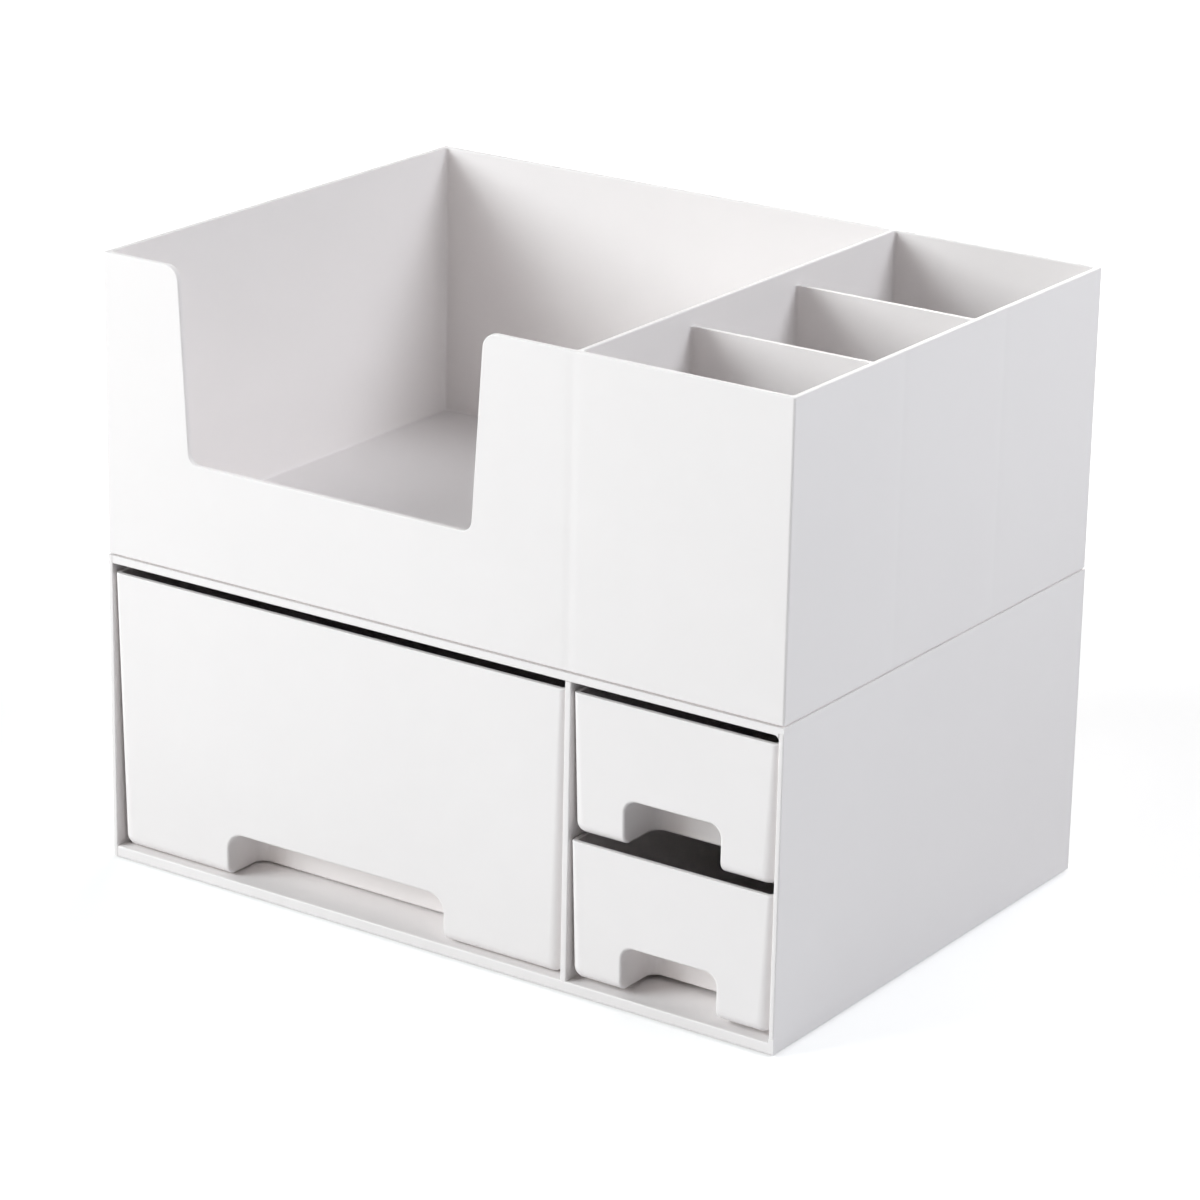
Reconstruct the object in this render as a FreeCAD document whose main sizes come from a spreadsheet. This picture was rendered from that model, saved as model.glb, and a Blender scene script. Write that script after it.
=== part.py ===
import FreeCAD, Part
import os
import Sketcher

# A desktop make-up organiser: a low cabinet with one wide drawer and two small
# stacked drawers, and a lift-off tray with compartments that stands on it.
# Lengths are millimetres. Inside each sub-part x runs from the left outer face,
# y runs back from the front face and z runs up from the underside of the base.

ROWS = [
    ("width", 280.0, "outside width"),
    ("depth", 197.0, "outside depth"),
    ("cabinet_height", 113.8, "base underside to the seam under the tray"),
    ("tray_height", 109.35, "seam to the rim of the tray"),
    ("foot_stand", 0.8, "foot pads below the base"),

    ("side_wall", 1.9, "thickness of a side panel"),
    ("partition_wall", 2.5, "thickness of the centre partition"),
    ("back_wall", 2.0, "thickness of the back panel"),
    ("wide_bay", 193.35, "clear width of the wide drawer's bay"),
    ("floor_top", 4.0, "top of the base plate"),
    ("floor_plate", 2.0, "thickness of the base plate over its hollow underside"),
    ("top_plate", 2.05, "thickness of the top panel"),
    ("band_height", 3.0, "height of the top panel's front band"),
    ("lip_depth", 2.0, "front to back depth of the band's lip"),
    ("lap_skin", 0.75, "side panel's skin outside the base and top plates"),
    ("lap_front", 3.0, "depth of the corner posts at the front"),
    ("joint_gap", 0.05, "gap in a fixed joint"),
    ("edge_round", 0.5, "round on the panels' front edges"),
    ("seam_height", 0.85, "height of the shadow gap at the seam"),
    ("seam_front_depth", 1.6, "depth of the shadow gap along the front"),
    ("seam_side_depth", 0.8, "depth of the shadow gap along the sides and the back"),
    ("web_radius", 1.8, "round in the top right corner of the small bay"),

    ("tab_length", 14.0, "length of a joining tab"),
    ("tab_margin", 30.0, "panel edge to the first joining tab"),
    ("tab_gap", 0.1, "gap around a joining tab"),
    ("tab_short", 0.3, "how far a tab ends below the face it comes out of"),
    ("nose_depth", 0.6, "reach of a snap nose under the floor"),
    ("nose_height", 1.2, "height of a snap nose"),
    ("base_rim", 4.0, "solid edge around the hollow underside"),
    ("rib_wall", 2.0, "thickness of a rib under the base"),
    ("locating_height", 2.2, "height of the ribs that centre the tray"),
    ("locating_wall", 1.5, "thickness of the ribs that centre the tray"),
    ("locating_gap", 0.5, "gap between those ribs and the tray's skirt"),
    ("locating_corner", 24.0, "open length at each corner of those ribs"),

    ("foot_radius", 5.0, "radius of a foot pad"),
    ("foot_thickness", 1.5, "thickness of a foot pad"),
    ("foot_inset", 15.0, "edge of the base to the middle of a foot pad"),
    ("foot_boss_wall", 2.0, "wall around a foot pad's recess"),

    ("runner_height", 1.6, "base runners above the floor"),
    ("runner_plate", 1.5, "thickness of the upper drawer's runners"),
    ("runner_width", 9.0, "reach of a runner from its wall"),
    ("runner_front", 8.0, "front face to the start of a runner"),
    ("glide_height", 0.5, "glide ribs under the wide drawer"),
    ("glide_width", 3.0, "width of a glide rib"),
    ("glide_inset", 12.0, "bay wall to a glide rib"),

    ("drawer_setback", 0.5, "front face of the cabinet to the drawers' rims"),
    ("drawer_back_gap", 1.8, "drawers to the back panel"),
    ("side_play", 0.3, "drawer rim to the bay wall on each side"),
    ("rim_play", 0.4, "drawer rim to the stop lugs of the top panel"),
    ("runner_play", 1.2, "lower small drawer's rim to the runners over it"),
    ("wide_drawer_height", 102.95, "height of the wide drawer"),
    ("small_drawer_height", 49.6, "height of a small drawer"),
    ("drawer_wall", 1.8, "wall of a drawer"),
    ("drawer_floor", 2.0, "floor of a drawer"),
    ("drawer_draft", 0.0096, "inward lean of a drawer's sides for each mm down"),
    ("rim_corner", 2.2, "corner radius of a drawer at its rim"),
    ("foot_corner", 4.6, "corner radius of a drawer at its floor"),
    ("bottom_round", 4.2, "round along a drawer's bottom edge"),
    ("rim_edge", 0.3, "round along a drawer's rim"),

    ("recess_depth", 19.5, "drawer front to the back of the finger recess"),
    ("recess_height", 16.4, "drawer bottom to the top of the finger recess"),
    ("wide_recess", 93.5, "width of the wide drawer's finger recess"),
    ("small_recess", 37.4, "width of a small drawer's finger recess"),
    ("wide_recess_corner", 6.5, "top corner radius of the wide recess"),
    ("small_recess_corner", 4.6, "top corner radius of a small recess"),
    ("recess_back_round", 4.0, "round along the back of a recess"),
    ("recess_edge", 1.0, "round on the mouth of a recess"),

    ("stop_place", 48.0, "front face to the stop lugs"),
    ("stop_wall", 2.0, "thickness of a stop lug"),
    ("stop_rise", 2.0, "height of a drawer's stop tab above its rim"),
    ("stop_width", 5.0, "width of a drawer's stop tab"),
    ("stop_gap", 0.7, "stop tab to the edge of a runner"),

    ("tray_wall", 2.2, "wall of the tray"),
    ("tray_floor", 2.2, "floor of the tray"),
    ("tray_skirt", 4.1, "tray's lower edge to the underside of its floor"),
    ("tray_corner", 0.9, "radius of the tray's outer corners"),
    ("tray_inner_corner", 1.1, "radius of the tray's inner corners"),
    ("tray_floor_round", 0.8, "round between the tray's walls and floor"),
    ("tray_rim_round", 0.45, "round along the tray's rim"),
    ("divider_wall", 1.8, "thickness of the tray's dividers"),
    ("bin_width", 194.4, "clear width of the tray's large bin"),
    ("cross_drop", 6.0, "rim to the top of the cross dividers"),
    ("notch_middle", 96.8, "left face to the middle of the front notch"),
    ("notch_top", 127.9, "width of the front notch at the rim"),
    ("notch_bottom", 119.3, "width of the front notch at its bottom"),
    ("notch_depth", 69.2, "rim to the bottom of the front notch"),
    ("notch_shoulder", 5.5, "radius at the top corners of the notch"),
    ("notch_corner", 4.0, "radius at the bottom corners of the notch"),
]

SHEET = "Sizes"
OVERCUT = 1.0
MESH_TOLERANCE = 0.02
CROSS_DIVIDERS = 2
SIDE_TABS = 3
BACK_TABS = 3
BASE_BAYS_ACROSS = 3
BASE_BAYS_DEEP = 2


class Size:
    """A length that keeps the sheet expression it was worked out from."""

    def __init__(self, text, value):
        self.text = text
        self.value = value

    def joined(self, sign, other, value):
        return Size(f"({self.text} {sign} {other.text})", value)

    def __add__(self, other):
        other = as_size(other)
        return self.joined("+", other, self.value + other.value)

    def __sub__(self, other):
        other = as_size(other)
        return self.joined("-", other, self.value - other.value)

    def __mul__(self, other):
        other = as_size(other)
        return self.joined("*", other, self.value * other.value)

    def __truediv__(self, other):
        other = as_size(other)
        return self.joined("/", other, self.value / other.value)

    def __neg__(self):
        return Size(f"(0 - {self.text})", -self.value)


def as_size(number):
    return number if isinstance(number, Size) else Size(repr(number), number)


class SizeSheet:
    """The spreadsheet of driving dimensions, read as attributes."""

    def __init__(self, document, rows):
        sheet = document.addObject("Spreadsheet::Sheet", SHEET)
        for number, (alias, value, meaning) in enumerate(rows, start=1):
            sheet.set(f"A{number}", alias)
            sheet.set(f"B{number}", str(value))
            sheet.set(f"C{number}", meaning)
            sheet.setAlias(f"B{number}", alias)
            setattr(self, alias, Size(f"{SHEET}.{alias}", value))


doc = FreeCAD.newDocument("MakeupOrganizer")
s = SizeSheet(doc, ROWS)
doc.recompute()

ZERO = as_size(0)

# Places that several sub-parts share
partition_left = s.side_wall + s.wide_bay
partition_right = partition_left + s.partition_wall
bay_right = s.width - s.side_wall
top_underside = s.cabinet_height - s.top_plate
band_bottom = s.cabinet_height - s.band_height
hollow_top = s.floor_top - s.floor_plate
runner_top = s.floor_top + s.runner_height
inner_back = s.depth - s.back_wall
plate_left = s.lap_skin + s.joint_gap
plate_right = s.width - s.lap_skin - s.joint_gap

wide_bottom = s.floor_top + s.glide_height
wide_rim = wide_bottom + s.wide_drawer_height
lower_bottom = runner_top
lower_rim = lower_bottom + s.small_drawer_height
upper_runner_underside = lower_rim + s.runner_play
upper_bottom = upper_runner_underside + s.runner_plate
upper_rim = upper_bottom + s.small_drawer_height

small_left = partition_right + s.side_play
small_right = bay_right - s.side_play
wide_left = s.side_wall + s.side_play
wide_right = partition_left - s.side_play
drawer_back = inner_back - s.drawer_back_gap

stop_from_wall = s.runner_width + s.stop_gap
lug_depth = (s.stop_place, s.stop_place + s.stop_wall)


# Helpers for sketches and features

def new_body(label):
    """A body whose own frame has its origin at the cabinet's front left bottom corner."""
    body = doc.addObject("PartDesign::Body", label)
    body.Label = label
    body.setExpression("Placement.Base.x", (-s.width / 2).text)
    body.setExpression("Placement.Base.y", (-s.depth / 2).text)
    body.setExpression("Placement.Base.z", s.foot_stand.text)
    return body


def new_sketch(body, name, role, offset):
    """A sketch on one of the body's origin planes, moved along that plane's normal."""
    sketch = body.newObject("Sketcher::SketchObject", f"{body.Name}_{name}_sketch")
    plane = next(item for item in body.Origin.OriginFeatures if item.Role == role)
    sketch.AttachmentSupport = [(plane, "")]
    sketch.MapMode = "FlatFace"
    sketch.setExpression("AttachmentOffset.Base.z", offset.text)
    return sketch


def place_point(sketch, line, point, across=None, along=None):
    """Ties a point of the sketch to sizes measured from the sketch's origin."""
    for kind, axis, place in (("DistanceX", -2, across), ("DistanceY", -1, along)):
        if place is None:
            continue
        if place is ZERO:
            sketch.addConstraint(Sketcher.Constraint("PointOnObject", line, point, axis))
            continue
        index = sketch.addConstraint(Sketcher.Constraint(kind, -1, 1, line, point, place.value))
        sketch.setExpression(f"Constraints[{index}]", place.text)


def segment(start, end):
    points = [FreeCAD.Vector(point[0], point[1], 0) for point in (start, end)]
    return Part.LineSegment(points[0], points[1])


def quarter_arc(centre, radius, start_degrees):
    axis = FreeCAD.Vector(0, 0, 1)
    circle = Part.Circle(FreeCAD.Vector(centre[0], centre[1], 0), axis, radius)
    start = start_degrees * FreeCAD.Units.Quantity("1 deg").getValueAs("rad").Value
    quarter = FreeCAD.Units.Quantity("90 deg").getValueAs("rad").Value
    return Part.ArcOfCircle(circle, start, start + quarter)


def draw_polygon(sketch, corners):
    """Straight sides through corners, each a pair of sizes."""
    count = len(corners)
    plain = [(corner[0].value, corner[1].value) for corner in corners]
    sides = [segment(plain[i], plain[(i + 1) % count]) for i in range(count)]
    first = sketch.addGeometry(sides, False)[0]
    for i in range(count):
        sketch.addConstraint(Sketcher.Constraint("Coincident", first + i, 2, first + (i + 1) % count, 1))
    for i, corner in enumerate(corners):
        place_point(sketch, first + i, 1, corner[0], corner[1])


def draw_rectangle(sketch, across, along):
    """A rectangle between two pairs of sizes."""
    low_x, high_x = across
    low_y, high_y = along
    plain = [(low_x.value, low_y.value), (high_x.value, low_y.value),
             (high_x.value, high_y.value), (low_x.value, high_y.value)]
    sides = [segment(plain[i], plain[(i + 1) % 4]) for i in range(4)]
    first = sketch.addGeometry(sides, False)[0]
    for i in range(4):
        sketch.addConstraint(Sketcher.Constraint("Coincident", first + i, 2, first + (i + 1) % 4, 1))
        kind = "Horizontal" if i % 2 == 0 else "Vertical"
        sketch.addConstraint(Sketcher.Constraint(kind, first + i))
    place_point(sketch, first, 1, low_x, low_y)
    place_point(sketch, first + 2, 1, high_x, high_y)


def draw_rounded(sketch, across, along, radius, rounded_corners=(0, 1, 2, 3)):
    """A rectangle with round corners, counted from the lower right one round to the lower left."""
    low_x, high_x = across[0].value, across[1].value
    low_y, high_y = along[0].value, along[1].value
    r = radius.value
    corner_points = [(high_x, low_y), (high_x, high_y), (low_x, high_y), (low_x, low_y)]
    inward = [(-1, 1), (-1, -1), (1, -1), (1, 1)]
    ends = []
    for number, (corner, side) in enumerate(zip(corner_points, inward)):
        reach = r if number in rounded_corners else 0.0
        on_across = (corner[0] + side[0] * reach, corner[1])
        on_along = (corner[0], corner[1] + side[1] * reach)
        ends.append((on_across, on_along) if number % 2 == 0 else (on_along, on_across))
    shapes = []
    arcs = []
    lines = []
    for number in range(4):
        lines.append(len(shapes))
        shapes.append(segment(ends[number - 1][1], ends[number][0]))
        if number in rounded_corners:
            corner, side = corner_points[number], inward[number]
            centre = (corner[0] + side[0] * r, corner[1] + side[1] * r)
            arcs.append(len(shapes))
            shapes.append(quarter_arc(centre, r, -90 + 90 * number))
    first = sketch.addGeometry(shapes, False)[0]
    total = len(shapes)
    for i in range(total):
        following = (i + 1) % total
        kind = "Tangent" if i in arcs or following in arcs else "Coincident"
        sketch.addConstraint(Sketcher.Constraint(kind, first + i, 2, first + following, 1))
    for number, line in enumerate(lines):
        kind = "Horizontal" if number % 2 == 0 else "Vertical"
        sketch.addConstraint(Sketcher.Constraint(kind, first + line))
    for arc in arcs[1:]:
        sketch.addConstraint(Sketcher.Constraint("Equal", first + arcs[0], first + arc))
    index = sketch.addConstraint(Sketcher.Constraint("Radius", first + arcs[0], r))
    sketch.setExpression(f"Constraints[{index}]", radius.text)
    place_point(sketch, first + lines[0], 1, along=along[0])
    place_point(sketch, first + lines[1], 1, across=across[1])
    place_point(sketch, first + lines[2], 1, along=along[1])
    place_point(sketch, first + lines[3], 1, across=across[0])


def draw_inner_round(sketch, wall, ceiling, radius):
    """The web left between a wall on the right, a ceiling and a quarter circle."""
    plain = [(wall.value - radius.value, ceiling.value), (wall.value, ceiling.value),
             (wall.value, ceiling.value - radius.value)]
    centre = (wall.value - radius.value, ceiling.value - radius.value)
    shapes = [segment(plain[0], plain[1]), segment(plain[1], plain[2]),
              quarter_arc(centre, radius.value, 0)]
    first = sketch.addGeometry(shapes, False)[0]
    arc = first + 2
    sketch.addConstraint(Sketcher.Constraint("Coincident", first, 2, first + 1, 1))
    sketch.addConstraint(Sketcher.Constraint("Coincident", first + 1, 2, arc, 1))
    sketch.addConstraint(Sketcher.Constraint("Coincident", arc, 2, first, 1))
    place_point(sketch, first, 1, wall - radius, ceiling)
    place_point(sketch, first + 1, 1, wall, ceiling)
    place_point(sketch, arc, 1, wall, ceiling - radius)
    index = sketch.addConstraint(Sketcher.Constraint("Radius", arc, radius.value))
    sketch.setExpression(f"Constraints[{index}]", radius.text)


def pad(body, name, sketch, length):
    feature = body.newObject("PartDesign::Pad", f"{body.Name}_{name}")
    feature.Profile = sketch
    feature.setExpression("Length", length.text)
    return feature


def pocket(body, name, sketch, length):
    """A pocket that cuts against the sketch's normal."""
    feature = body.newObject("PartDesign::Pocket", f"{body.Name}_{name}")
    feature.Profile = sketch
    feature.setExpression("Length", length.text)
    return feature


def add_blocks(body, name, rectangles, heights):
    """Pads rectangles, each a pair of x sizes and a pair of y sizes, between two heights."""
    sketch = new_sketch(body, name, "XY_Plane", heights[0])
    for across, along in rectangles:
        draw_rectangle(sketch, across, along)
    return pad(body, name, sketch, heights[1] - heights[0])


def cut_blocks(body, name, rectangles, heights):
    """Cuts rectangles, each a pair of x sizes and a pair of y sizes, between two heights."""
    sketch = new_sketch(body, name, "XY_Plane", heights[1])
    for across, along in rectangles:
        draw_rectangle(sketch, across, along)
    return pocket(body, name, sketch, heights[1] - heights[0])


def near(value, size, tolerance=0.01):
    return abs(value - size.value) < tolerance


def runs_along(edge, axis):
    """True for a straight edge parallel to an axis, 0 for x, 1 for y and 2 for z."""
    if edge.Curve.TypeId != "Part::GeomLine":
        return False
    return abs(abs(edge.Curve.Direction[axis]) - 1.0) < 1e-6


def dress(body, kind, name, base, amount, chosen):
    """A fillet or chamfer on the edges of a feature that a test picks."""
    doc.recompute()
    names = [f"Edge{i}" for i, edge in enumerate(base.Shape.Edges, start=1) if chosen(edge)]
    if not names:
        raise ValueError(f"{body.Name} has no edge for {name}")
    feature = body.newObject(f"PartDesign::{kind}", f"{body.Name}_{name}")
    feature.Base = (base, names)
    feature.setExpression("Radius" if kind == "Fillet" else "Size", amount.text)
    body.Tip = feature
    return feature


def tab_places(start, end, count):
    """The y or x ranges of tabs spread evenly between two margins."""
    first = start + s.tab_margin
    step = (end - start - s.tab_margin * 2 - s.tab_length) / (count - 1)
    return [(first + step * i, first + step * i + s.tab_length) for i in range(count)]


def widened(places, gap):
    return [(low - gap, high + gap) for low, high in places]


side_tab_places = tab_places(s.lap_front, inner_back, SIDE_TABS)
back_tab_places = tab_places(ZERO, s.width, BACK_TABS)
back_slot_places = [(runner_top + s.tab_length, runner_top + s.tab_length * 2),
                    (top_underside - s.tab_length * 2, top_underside - s.tab_length)]


def stop_places(left_wall, right_wall):
    """The x ranges of a drawer's two stop tabs."""
    return [(left_wall + stop_from_wall, left_wall + stop_from_wall + s.stop_width),
            (right_wall - stop_from_wall - s.stop_width, right_wall - stop_from_wall)]


wide_stops = stop_places(s.side_wall, partition_left)
small_stops = stop_places(partition_right, bay_right)


# Base panel: a plate on a rim, with runners for the drawers and slots for the uprights

def build_base_panel():
    body = new_body("base_panel")
    full_height = (ZERO, s.floor_top)
    rail_height = (s.floor_top, runner_top)
    rail_depth = (s.lap_front + s.joint_gap, inner_back - s.joint_gap)
    runner_depth = (s.runner_front, rail_depth[1])

    add_blocks(body, "plate", [((plate_left, plate_right), (ZERO, s.depth))], full_height)
    cut_blocks(body, "left_corner", [((ZERO, s.side_wall + s.joint_gap), (ZERO, rail_depth[0]))],
               full_height)
    add_blocks(body, "right_post", [((bay_right, s.width), (ZERO, s.lap_front))], (ZERO, runner_top))
    add_blocks(body, "rails", [
        ((plate_left, s.side_wall), rail_depth),
        ((bay_right, plate_right), (s.lap_front, rail_depth[1])),
    ], rail_height)
    add_blocks(body, "runners", [
        ((partition_right + s.joint_gap, partition_right + s.runner_width), runner_depth),
        ((bay_right - s.runner_width, bay_right), runner_depth),
    ], rail_height)
    glide_left = s.side_wall + s.glide_inset
    glide_right = partition_left - s.glide_inset
    add_blocks(body, "glides", [
        ((glide_left, glide_left + s.glide_width), runner_depth),
        ((glide_right - s.glide_width, glide_right), runner_depth),
    ], (s.floor_top, wide_bottom))

    bay_width = (s.width - s.base_rim * 2 - s.rib_wall * (BASE_BAYS_ACROSS - 1)) / BASE_BAYS_ACROSS
    bay_depth = (s.depth - s.base_rim * 2 - s.rib_wall * (BASE_BAYS_DEEP - 1)) / BASE_BAYS_DEEP
    bays = []
    for i in range(BASE_BAYS_ACROSS):
        for j in range(BASE_BAYS_DEEP):
            low_x = s.base_rim + (bay_width + s.rib_wall) * i
            low_y = s.base_rim + (bay_depth + s.rib_wall) * j
            bays.append(((low_x, low_x + bay_width), (low_y, low_y + bay_depth)))
    cut_blocks(body, "hollow", bays, (ZERO, hollow_top))

    draw_feet(body, "foot_bosses", s.foot_radius + s.foot_boss_wall, pad, ZERO, hollow_top)
    recess_depth = s.foot_thickness - s.foot_stand
    draw_feet(body, "foot_recesses", s.foot_radius + s.joint_gap, pocket, recess_depth, recess_depth)

    side_slots = []
    nose_reliefs = []
    for low, high in widened(side_tab_places, s.tab_gap):
        side_slots.append(((ZERO, s.side_wall + s.tab_gap), (low, high)))
        side_slots.append(((bay_right - s.tab_gap, plate_right), (low, high)))
        nose_reliefs.append(((ZERO, s.base_rim + OVERCUT), (low, high)))
        nose_reliefs.append(((s.width - s.base_rim - OVERCUT, plate_right), (low, high)))
    cut_blocks(body, "side_slots", side_slots, (ZERO, runner_top))
    cut_blocks(body, "nose_reliefs", nose_reliefs, (ZERO, hollow_top))
    partition_across = (partition_left - s.tab_gap, partition_right + s.tab_gap)
    cut_blocks(body, "partition_slots",
               [(partition_across, place) for place in widened(side_tab_places, s.tab_gap)], full_height)
    last = cut_blocks(body, "back_slots", [
        (place, (inner_back - s.tab_gap, s.depth)) for place in widened(back_tab_places, s.tab_gap)
    ], full_height)
    return dress(body, "Fillet", "front_edge", last, s.edge_round,
                 lambda edge: runs_along(edge, 0) and near(edge.CenterOfMass.y, ZERO))


def draw_feet(body, name, radius, feature, height, length):
    """Pads or cuts four circles at the places of the foot pads."""
    sketch = new_sketch(body, name, "XY_Plane", height)
    for across, along in foot_middles:
        centre = FreeCAD.Vector(across.value, along.value, 0)
        index = sketch.addGeometry(Part.Circle(centre, FreeCAD.Vector(0, 0, 1), radius.value), False)
        place_point(sketch, index, 3, across, along)
        row = sketch.addConstraint(Sketcher.Constraint("Radius", index, radius.value))
        sketch.setExpression(f"Constraints[{row}]", radius.text)
    return feature(body, name, sketch, length)


foot_middles = [(across, along)
                for across in (s.foot_inset, s.width - s.foot_inset)
                for along in (s.foot_inset, s.depth - s.foot_inset)]


# Top panel: a plate with a front band, ribs that centre the tray and lugs that stop the drawers

def build_top_panel():
    body = new_body("top_panel")
    plate_height = (top_underside, s.cabinet_height)
    lip_across = (s.side_wall + s.joint_gap, bay_right - s.joint_gap)

    add_blocks(body, "plate", [((plate_left, plate_right), (ZERO, s.depth))], plate_height)
    cut_blocks(body, "left_corner", [
        ((ZERO, s.side_wall + s.joint_gap), (ZERO, s.lap_front + s.joint_gap)),
    ], plate_height)
    add_blocks(body, "right_post", [((bay_right, s.width), (ZERO, s.lap_front))], plate_height)
    add_blocks(body, "lip", [(lip_across, (ZERO, s.lip_depth))], (band_bottom, top_underside))

    web = new_sketch(body, "web", "XZ_Plane", -s.lip_depth)
    draw_inner_round(web, lip_across[1], band_bottom, s.web_radius)
    pad(body, "web", web, s.lip_depth)

    skirt = s.tray_wall + s.locating_gap
    rib_across = (skirt + s.locating_corner, s.width - skirt - s.locating_corner)
    rib_along = (skirt + s.locating_corner, s.depth - skirt - s.locating_corner)
    add_blocks(body, "locating_ribs", [
        (rib_across, (skirt, skirt + s.locating_wall)),
        (rib_across, (s.depth - skirt - s.locating_wall, s.depth - skirt)),
        ((skirt, skirt + s.locating_wall), rib_along),
        ((s.width - skirt - s.locating_wall, s.width - skirt), rib_along),
    ], (s.cabinet_height, s.cabinet_height + s.locating_height))

    add_blocks(body, "wide_lugs", [(place, lug_depth) for place in wide_stops],
               (wide_rim + s.rim_play, top_underside))
    add_blocks(body, "small_lugs", [(place, lug_depth) for place in small_stops],
               (upper_rim + s.rim_play, top_underside))

    side_slots = []
    for low, high in widened(side_tab_places, s.tab_gap):
        side_slots.append(((ZERO, s.side_wall + s.tab_gap), (low, high)))
        side_slots.append(((bay_right - s.tab_gap, plate_right), (low, high)))
    cut_blocks(body, "side_slots", side_slots, plate_height)
    partition_across = (partition_left - s.tab_gap, partition_right + s.tab_gap)
    cut_blocks(body, "partition_slots",
               [(partition_across, place) for place in widened(side_tab_places, s.tab_gap)], plate_height)
    last = cut_blocks(body, "back_slots", [
        (place, (inner_back - s.tab_gap, s.depth)) for place in widened(back_tab_places, s.tab_gap)
    ], plate_height)
    return dress(body, "Fillet", "lip_edge", last, s.edge_round,
                 lambda edge: near(edge.CenterOfMass.z, band_bottom)
                 and runs_along(edge, 0) and near(edge.CenterOfMass.y, ZERO))


# Side panels: full height outside, rabbeted inside for the base, top and back

def build_side_panel(label, on_right):
    body = new_body(label)

    def across(low, high):
        """An x range measured inwards from the panel's outer face."""
        return (s.width - high, s.width - low) if on_right else (low, high)

    lapped = across(s.lap_skin, s.side_wall)
    full_depth = (ZERO, s.depth)
    add_blocks(body, "panel", [(across(ZERO, s.side_wall), full_depth)], (ZERO, s.cabinet_height))
    cut_blocks(body, "bottom_rabbet", [(lapped, (s.lap_front, s.depth))], (ZERO, runner_top))
    cut_blocks(body, "top_rabbet", [(lapped, (s.lap_front, s.depth))], (top_underside, s.cabinet_height))
    cut_blocks(body, "back_rabbet", [(lapped, (inner_back, s.depth))], (runner_top, top_underside))
    if on_right:
        corner = [(across(ZERO, s.side_wall), (ZERO, s.lap_front + s.joint_gap))]
        cut_blocks(body, "bottom_corner", corner, (ZERO, runner_top + s.joint_gap))
        cut_blocks(body, "top_corner", corner, (top_underside - s.joint_gap, s.cabinet_height))

    add_blocks(body, "bottom_tabs", [(lapped, place) for place in side_tab_places],
               (s.tab_short, runner_top))
    nose_top = hollow_top - s.joint_gap
    nose_across = across(s.side_wall, s.side_wall + s.nose_depth)
    add_blocks(body, "snap_noses", [(nose_across, place) for place in side_tab_places],
               (nose_top - s.nose_height, nose_top))
    last = add_blocks(body, "top_tabs", [(lapped, place) for place in side_tab_places],
                      (top_underside, s.cabinet_height - s.tab_short))
    if on_right:
        last = add_runner(body, bay_right - s.runner_width, bay_right, small_stops[1])

    outer = across(ZERO, ZERO)[0]
    inner = across(s.side_wall, s.side_wall)[0]
    return dress(body, "Fillet", "front_edges", last, s.edge_round,
                 lambda edge: runs_along(edge, 2) and near(edge.CenterOfMass.y, ZERO)
                 and (near(edge.CenterOfMass.x, outer) or near(edge.CenterOfMass.x, inner)))


def add_runner(body, low, high, stop):
    """A runner that carries the upper small drawer, with the lug that stops the lower one."""
    runner_height = (upper_runner_underside, upper_bottom)
    runner_depth = (s.runner_front, inner_back - s.joint_gap)
    lug_across = (low, stop[1]) if low.value < stop[0].value else (stop[0], high)
    add_blocks(body, "runner", [((low, high), runner_depth)], runner_height)
    return add_blocks(body, "stop_lug", [(lug_across, lug_depth)], runner_height)


# Centre partition: stands between the base and the top and carries a runner on its right face

def build_centre_partition():
    body = new_body("centre_partition")
    across = (partition_left, partition_right)
    back_edge = inner_back - s.joint_gap
    add_blocks(body, "panel", [(across, (ZERO, back_edge))], (s.floor_top, top_underside))
    cut_blocks(body, "lip_corner", [(across, (ZERO, s.lip_depth + s.joint_gap))],
               (band_bottom - s.joint_gap, top_underside))
    add_blocks(body, "bottom_tabs", [(across, place) for place in side_tab_places],
               (s.tab_short, s.floor_top))
    add_blocks(body, "top_tabs", [(across, place) for place in side_tab_places],
               (top_underside, s.cabinet_height - s.tab_short))
    for number, heights in enumerate(back_slot_places, start=1):
        add_blocks(body, f"back_tab_{number}", [(across, (back_edge, s.depth - s.tab_short))], heights)
    last = add_runner(body, partition_right, partition_right + s.runner_width, small_stops[0])
    return dress(body, "Fillet", "front_edges", last, s.edge_round,
                 lambda edge: runs_along(edge, 2) and near(edge.CenterOfMass.y, ZERO))


# Back panel: drops between the side panels' skins, with slots for the partition's back tabs

def build_back_panel():
    body = new_body("back_panel")
    along = (inner_back, s.depth)
    add_blocks(body, "panel", [((plate_left, plate_right), along)], (s.floor_top, top_underside))
    add_blocks(body, "bottom_tabs", [(place, along) for place in back_tab_places],
               (s.tab_short, s.floor_top))
    last = add_blocks(body, "top_tabs", [(place, along) for place in back_tab_places],
                      (top_underside, s.cabinet_height - s.tab_short))
    slot_across = (partition_left - s.tab_gap, partition_right + s.tab_gap)
    for number, (low, high) in enumerate(back_slot_places, start=1):
        last = cut_blocks(body, f"partition_slot_{number}", [(slot_across, along)],
                          (low - s.tab_gap, high + s.tab_gap))
    return last


# Drawers: one-piece drafted tubs with a finger recess in the front and stop tabs at the back

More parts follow.
